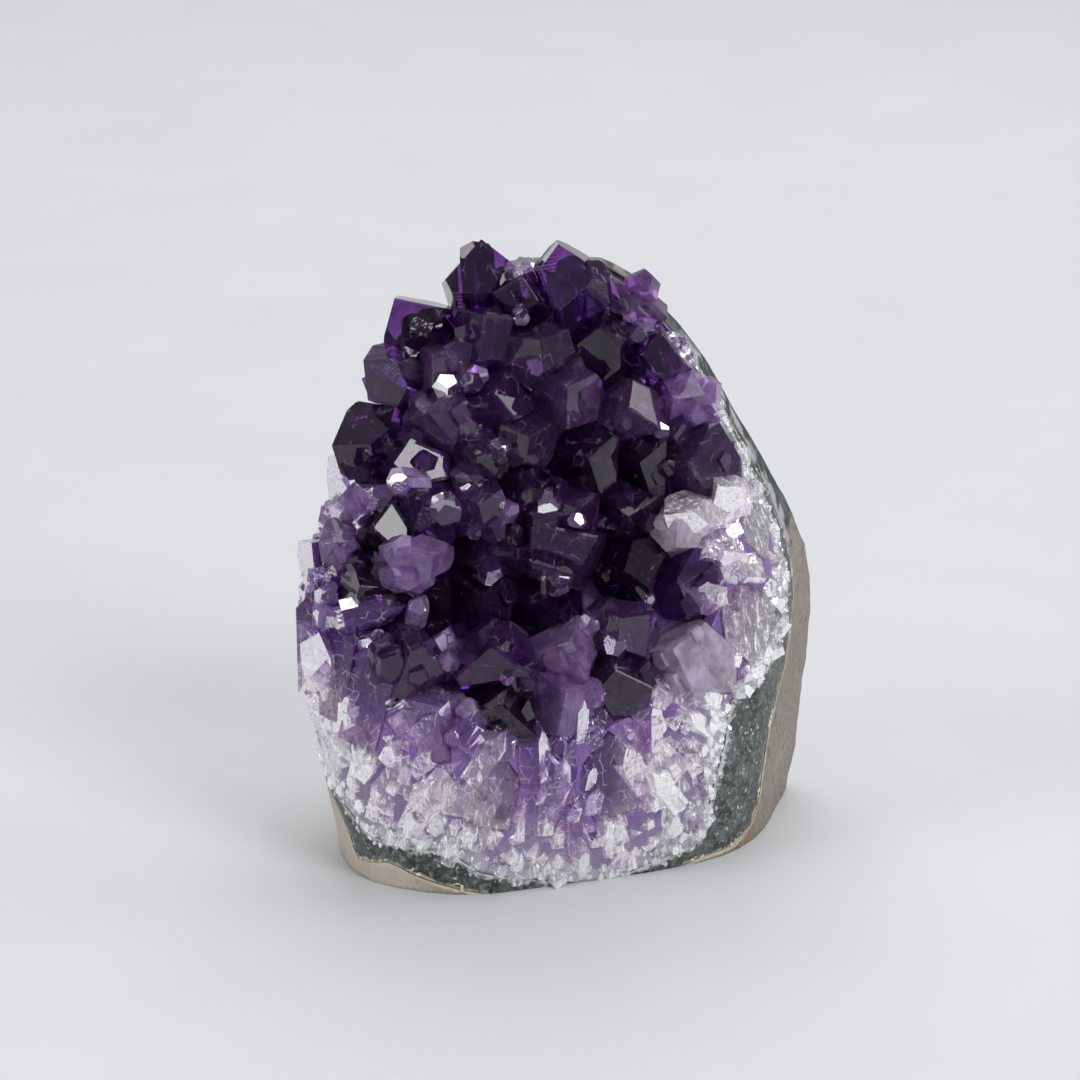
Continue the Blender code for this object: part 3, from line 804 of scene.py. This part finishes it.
def scatter_tree():
    """The tree that all the small crystals share."""
    inputs = {
        "Crystal": "Object", "Spacing": "Float", "Seed": "Int", "Smallest": "Float", "Largest": "Float",
        "Stretch": "Float", "Sink": "Float", "Unrest": "Float", "Towards": "Vector", "Upright": "Float",
        "Finish": "Material",
    }
    tree, graph, given = geometry_tree("scatter_crystals", inputs)
    node, vector = graph.node, graph.vector
    mask = node("GeometryNodeInputNamedAttribute", {"data_type": "FLOAT"}, {"Name": "grows"})
    spread = {"Mesh": given["Geometry"], "Density Factor": mask, "Distance Min": given["Spacing"]}
    spread |= {"Density Max": DENSEST, "Seed": given["Seed"]}
    points = node("GeometryNodeDistributePointsOnFaces", {"distribute_method": "POISSON"}, spread)
    normal = Value(graph, points.socket.node.outputs["Normal"])
    position = node("GeometryNodeInputPosition")
    # each crystal lies along the surface, towards one place
    away = vector("SUBTRACT", {0: given["Towards"], 1: position})
    share = vector("DOT_PRODUCT", {0: away, 1: normal}, "Value")
    part = vector("SCALE", {0: normal, "Scale": share})
    along = vector("SUBTRACT", {0: away, 1: part})
    along = vector("NORMALIZE", {0: along})
    lift = vector("SCALE", {0: normal, "Scale": given["Upright"]})
    along = vector("ADD", {0: along, 1: lift})
    align = "FunctionNodeAlignRotationToVector"
    upright = node(align, {"axis": "X"}, {"Vector": normal})
    turn = node(align, {"axis": "Z"}, {"Rotation": upright, "Vector": along})
    # and then turns a little its own way
    unrest = given["Unrest"]
    low = node("ShaderNodeCombineXYZ", {}, {0: unrest * -1.0, 1: unrest * -1.0, 2: unrest * -1.0})
    high = node("ShaderNodeCombineXYZ", {}, {0: unrest, 1: unrest, 2: unrest})
    shake = random_value(graph, low, high, given["Seed"] + 1, "FLOAT_VECTOR")
    shake = node("FunctionNodeEulerToRotation", {}, {0: shake})
    turn = node("FunctionNodeRotateRotation", {"rotation_space": "LOCAL"}, {0: turn, 1: shake})
    # small ones are more common than large ones
    size = random_value(graph, 0.0, 1.0, given["Seed"] + 2)
    size = given["Smallest"] + (given["Largest"] - given["Smallest"]) * size ** 1.6
    stretch = given["Stretch"] * random_value(graph, 0.6, 1.4, given["Seed"] + 3)
    scale = node("ShaderNodeCombineXYZ", {}, {0: size, 1: size, 2: size * stretch})
    tone = random_value(graph, 0.0, 1.0, given["Seed"] + 4)
    store = {0: points, "Name": "tone", "Value": tone}
    points = node("GeometryNodeStoreNamedAttribute", {"data_type": "FLOAT", "domain": "POINT"}, store)
    sunk = vector("SCALE", {0: normal, "Scale": size * given["Sink"] * -1.0})
    points = node("GeometryNodeSetPosition", {}, {0: points, "Offset": sunk})
    crystal = node("GeometryNodeObjectInfo", {}, {"Object": given["Crystal"]}, "Geometry")
    spots = {"Points": points, "Instance": crystal, "Rotation": turn, "Scale": scale}
    copies = node("GeometryNodeInstanceOnPoints", {}, spots)
    real = node("GeometryNodeRealizeInstances", {}, {0: copies})
    done = node("GeometryNodeSetMaterial", {}, {0: real, "Material": given["Finish"]})
    node("NodeGroupOutput", {}, {0: done})
    return tree


def tree_input(modifier, label, value):
    """Sets a modifier's input by its socket's identifier."""
    items = modifier.node_group.interface.items_tree
    found = next(i for i in items if i.item_type == "SOCKET" and i.in_out == "INPUT" and i.name == label)
    modifier[found.identifier] = value


scatter = scatter_tree()
print(f"{len(scatter.nodes)} nodes in the scattering tree")

# %% Growing small crystals on a carrier
grain_chance = random.Random(SEED + 1)


def unit_crystal(length, behind, chance):
    """One crystal a metre in radius, to be scaled down. A share of it lies behind the origin."""
    mesh = bmesh.new()
    tip = length * (1 - behind)
    quartz_point(mesh, Vector((0, 0, tip)), Vector((0, 0, 1)), 1.0, length, chance)
    write(mesh, "back", lambda v: (tip - v.co.z) / length)
    write(mesh, "side", lambda v: 0.0)
    data = bpy.data.meshes.new("unit_crystal")
    mesh.to_mesh(data)
    mesh.free()
    return in_scene("unit_crystal", data)


def keep_in_box(data):
    """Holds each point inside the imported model's box."""
    for v in data.vertices:
        v.co = [min(max(c, low), high) for c, low, high in zip(v.co, low_corner, high_corner)]


def grown(name, carrier_mesh, grows, material, form, sizes):
    """Small crystals over a carrier mesh, as a piece. Where they grow is a function of a point, or
    None if the carrier has it as its own attribute, grows. Their form is a length and the share of
    it behind the root point, and their sizes are the tree's inputs."""
    mesh = carrier_mesh.copy()
    if grows:
        write(mesh, "grows", grows)
    data = bpy.data.meshes.new("carrier")
    mesh.to_mesh(data)
    mesh.free()
    if grows:
        data.shade_flat()  # so that normals stay square to their faces, up to the very edge
    carrier = in_scene("carrier", data)
    source = unit_crystal(*form, grain_chance)
    modifier = carrier.modifiers.new("scatter", "NODES")
    modifier.node_group = scatter
    for label, value in {"Crystal": source, "Finish": material, **sizes}.items():
        tree_input(modifier, label, value)
    ready = carrier.evaluated_get(bpy.context.evaluated_depsgraph_get())
    data = bpy.data.meshes.new_from_object(ready)
    for used in (carrier, source):
        bpy.data.objects.remove(used)
    keep_in_box(data)
    data.shade_flat()
    made = in_scene(name, data)
    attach(made, "root")
    print(count(made))
    return made


# %% [markdown]
# ## Columns in the polished rim
# Cut across, the quartz shows long crystals side by side, which stand on the green band and point
# to the middle of the druse. They lie almost flush, each turned a little its own way, so that
# each one takes the light differently. Next to the band they are small grains.

# %% Rim columns
def rim_quartz(graph):
    place = graph.place()
    tone = graph.attribute("tone")
    patches = graph.clouds(place, 9.0, 2.0)
    reach = graph.attribute("to_band") / MM + 8.0 * (tone - 0.5) + 20.0 * (patches - 0.5)
    reach = reach - 3.0 * graph.attribute("back") + 20.0 * graph.step(graph.along("Z"), 78, 92)
    left = graph.step(graph.along("X"), -16, -30) * graph.step(graph.along("Z"), 32, 48)
    middle = graph.step(graph.along("X"), -13, -5) * graph.step(graph.along("X"), 11, 4)
    reach = reach + 16.0 * left + 6.0 * middle * graph.step(graph.attribute("to_band") / MM, 2, 7)
    colour = graph.blend(graph.step(reach, 1.5, 8.0), (0.96, 0.95, 0.96), (0.85, 0.74, 0.86))
    colour = graph.blend(graph.step(reach, 9.0, 16.0), colour, (0.55, 0.34, 0.66))
    colour = graph.blend(graph.step(reach, 14.0, 23.0), colour, (0.22, 0.08, 0.40))
    smoky = graph.step(graph.clouds(place, 3.2, 3.0), 0.55, 0.68)
    colour = graph.blend(smoky * 0.8, colour, (0.17, 0.09, 0.27))
    cracks = graph.edges(graph.warped(place, 2.5, 0.8), 2.1)
    seen = graph.step(graph.clouds(place, 2.1, 2.0), 0.45, 0.6)
    white = graph.step(cracks, 0.08, 0.0) * seen
    snow = graph.step(graph.clouds(graph.place((1.6, 1.6, 0.5)), 1.3, 4.0, 0.7), 0.52, 0.64)
    snow = snow * graph.step(reach, 20.0, 6.0)
    rough = graph.clouds(place, 0.8, 2.0)
    return {
        "Base Color": colour,
        "Roughness": 0.04 + 0.22 * graph.step(rough, 0.42, 0.75),
        "Transmission Weight": 0.80,
        "IOR": 1.54,
        "Normal": graph.bump(rough + 2.0 * graph.clouds(place, 2.0), 0.14, 0.6),
        "veil": (0.04 + 0.28 * white + 0.85 * snow, graph.blend(white, colour, (0.94, 0.93, 0.96))),
    }


rim_finish = finish("rim_quartz", rim_quartz)
carrier_mesh = own_copy("quartz_bed")
flat_faces(carrier_mesh)
finer(carrier_mesh, 1.6 * MM)
to_band = distance_to(band_surface)
write(carrier_mesh, "to_band", to_band)


def on_rim(least, most):
    """A function of a point that is 1 on the polished skin, between two distances from the band."""

    def grows(v):
        if to_skin(v) > 0.5 * MM or v.co.z < 0.6 * MM or v.co.y > 22 * MM:
            return 0.0
        return 1.0 if least < to_band(v) / MM < most else 0.0

    return grows


for node in rim_nodes:
    crystals[node].data.materials[0] = rim_finish
# name: (least and most distance from the band, spacing, smallest, largest, length, stretch, behind)
COLUMNS = {
    "rim_columns_long": (3.5, 60.0, 4.0, 2.2, 4.4, 2.4, 1.3, 0.0),
    "rim_columns_short": (2.0, 60.0, 2.9, 1.3, 2.5, 2.2, 1.0, 0.0),
    "rim_grains": (0.0, 5.0, 1.35, 0.60, 1.8, 1.9, 1.1, 0.5),
}
for n, (name, row) in enumerate(COLUMNS.items()):
    least, most, spacing, smallest, largest, length, stretch, behind = row
    sizes = {"Spacing": spacing * MM, "Seed": 10 * n, "Smallest": smallest * MM}
    sizes |= {"Largest": largest * MM, "Stretch": stretch, "Sink": 0.74, "Unrest": 0.32}
    sizes |= {"Towards": DRUSE_MIDDLE, "Upright": 0.0}
    where = on_rim(least, most)
    grown(name, carrier_mesh, where, rim_finish, (length, behind), sizes)

# %% [markdown]
# ## Small points between the large crystals
# Where large crystals meet, late small ones grew in the corners. Their carrier is the skin of all
# the large crystals, and they grow only where another crystal is near, a little behind the tip.

# %% Small points
def grooves(nodes):
    """The skins of the crystals, with a mark along the grooves where they meet."""
    joined = bmesh.new()
    joined.verts.layers.float.new("grows")
    for node in nodes:
        mesh = own_copy(node)
        flat_faces(mesh)
        mesh.normal_update()
        axis = long_axis(mesh)
        tip = max(v.co.dot(axis) for v in mesh.verts)
        others = surface_of(*(other for other in nodes if other != node))
        finer(mesh, 2.2 * MM)

        def groove(v):
            drop = (tip - v.co.dot(axis)) / MM
            return 1.0 if others.find_nearest(v.co)[3] < 0.7 * MM and 1.5 < drop < 8.0 else 0.0

        write(mesh, "grows", groove)
        data = bpy.data.meshes.new("skin")
        mesh.to_mesh(data)
        mesh.free()
        joined.from_mesh(data)
        bpy.data.meshes.remove(data)
    return joined


groove_mesh = grooves(druse_nodes)
BEFORE_DRUSE = Vector((-5, -90, 100)) * MM
# slot: (spacing, smallest, largest)
SMALL_POINTS = {"amethyst_deep": (4.9, 1.1, 2.8), "amethyst_violet": (7.0, 1.0, 2.2)}
for n, (slot, (spacing, smallest, largest)) in enumerate(SMALL_POINTS.items()):
    sizes = {"Spacing": spacing * MM, "Seed": 50 + 10 * n, "Smallest": smallest * MM}
    sizes |= {"Largest": largest * MM, "Stretch": 1.0, "Sink": 0.4, "Unrest": 0.22}
    sizes |= {"Towards": BEFORE_DRUSE, "Upright": 0.3}
    name = f"small_points_{slot}"
    grown(name, groove_mesh, None, amethyst_finishes[slot], (3.2, 0.0), sizes)

# %% [markdown]
# ## Crumbs along the seams
# The layers don't part along clean lines. Cream grains of clay and chalcedony mark where the
# green band left the basalt, and quartz grains are scattered over its inner edge.

# %% Crumbs
def cream(graph):
    place = graph.place()
    shade = graph.clouds(place, 1.6, 3.0)
    colour = graph.blend(shade, (0.62, 0.55, 0.40), (0.80, 0.78, 0.70))
    rust = graph.step(graph.clouds(place, 11.0, 2.0), 0.58, 0.70)
    colour = graph.blend(rust * 0.6, colour, (0.50, 0.27, 0.10))
    return {"Base Color": colour, "Roughness": 0.45 + 0.3 * shade, "Normal": graph.bump(shade, 0.1)}


band_carrier = own_copy("celadonite_band")
flat_faces(band_carrier)
finer(band_carrier, 0.8 * MM)
to_rind, to_bed = distance_to(rind_surface), distance_to(bed_surface)
write(band_carrier, "to_band", lambda v: 0.0)  # so that quartz grains take the rim's white end


def by_rind(v):
    """Whether cream grains sit here, on the outer skin beside the basalt."""
    return 1.0 if to_skin(v) < 0.4 * MM and to_rind(v) < 0.55 * MM and v.co.z > 0.6 * MM else 0.0


def by_quartz(v):
    """Whether quartz grains sit here, on the outer skin beside the bed."""
    return 1.0 if to_skin(v) < 0.4 * MM and to_bed(v) < 1.6 * MM and v.co.z > 1.0 * MM else 0.0


# name: (where, slot, finish, spacing, smallest, largest)
CRUMBS = {
    "seam_crumbs": (by_rind, "celadonite", finish("cream_seam", cream), 0.60, 0.28, 0.75),
    "quartz_crumbs": (by_quartz, "milky_quartz", rim_finish, 0.95, 0.30, 0.85),
}
for n, (name, (grows, slot, material, spacing, smallest, largest)) in enumerate(CRUMBS.items()):
    sizes = {"Spacing": spacing * MM, "Seed": 80 + 10 * n, "Smallest": smallest * MM}
    sizes |= {"Largest": largest * MM, "Stretch": 1.0, "Sink": 0.6, "Unrest": 1.2}
    sizes |= {"Towards": DRUSE_MIDDLE, "Upright": 0.0}
    grown(name, band_carrier, grows, material, (1.2, 0.0), sizes)

# %% End
print("the scene is built")
